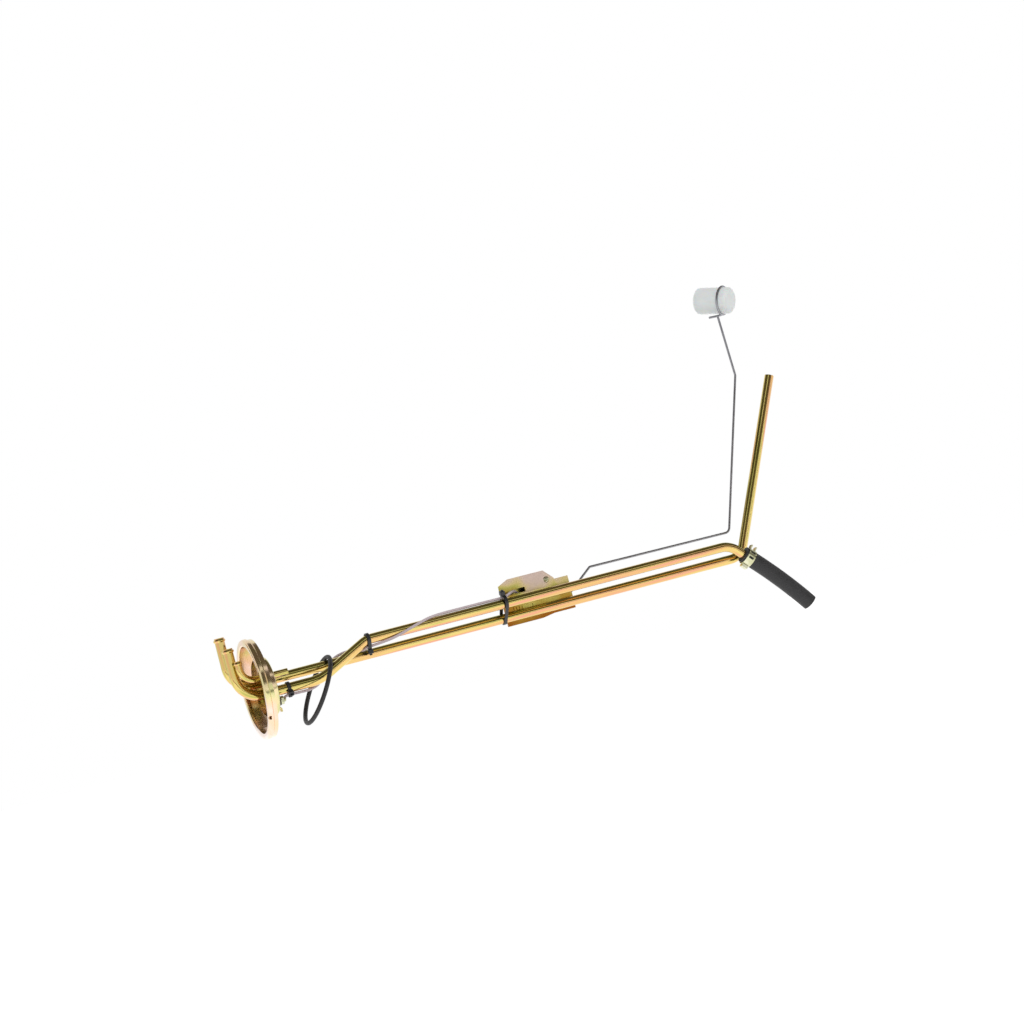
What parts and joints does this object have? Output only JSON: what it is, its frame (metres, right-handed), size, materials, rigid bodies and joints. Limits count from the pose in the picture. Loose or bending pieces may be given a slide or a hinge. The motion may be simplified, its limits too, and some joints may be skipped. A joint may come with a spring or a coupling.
{
  "type": "fuel level sender",
  "caption": "Fuel level sender: a pressed flange with supply, return and vent tubes, and a rheostat with a float on a long wire arm.",
  "frame": {"origin": "centre of the flange's seating face", "axes": "+X into the tank along the tubes, +Z to the side of the hose ports, and the float arm's shaft along Y"},
  "size_m": [0.6403, 0.1068, 0.3535],
  "materials": {
    "zinc": "yellow chromated zinc plate, satin with rainbow tints",
    "pale_zinc": "pale zinc plate",
    "steel": "bright wire",
    "rubber": "smooth black",
    "nylon": "black nylon",
    "float_white": "milky white",
    "lead": "pinkish grey insulation",
    "board": "phenolic board"
  },
  "bodies": {
    "sender": {"flange": "zinc", "braze_rings": "zinc", "return_tube": "zinc", "supply_tube": "zinc", "vent_tube": "zinc", "terminal_insulator": "nylon", "terminal_stud": "steel", "terminal_nuts": "pale_zinc", "lead_terminal": "pale_zinc", "ground_tab": "zinc", "lead": "lead", "cable_tie_1": "nylon", "cable_tie_2": "nylon", "cable_tie_3": "nylon", "seal_ring": "rubber", "sender_bracket": "zinc", "rheostat_housing": "zinc", "rheostat_cover": "zinc", "housing_rivets": "steel", "resistor_card": "board", "resistor_track": "steel", "card_contact": "pale_zinc", "pivot_bush": "nylon", "pickup_hose": "rubber", "hose_clamp": "pale_zinc"},
    "arm": {"pivot_shaft": "steel", "wiper": "pale_zinc", "float_arm": "steel", "arm_clip": "steel", "float": "float_white", "float_cap": "float_white"}
  },
  "joints": [
    {"name": "float_swing", "type": "hinge", "parent": "sender", "child": "arm", "pos_m": [0.3246, 0.02865, 0.006], "axis": [0, 1, 0], "range_deg": [0, 54]}
  ]
}
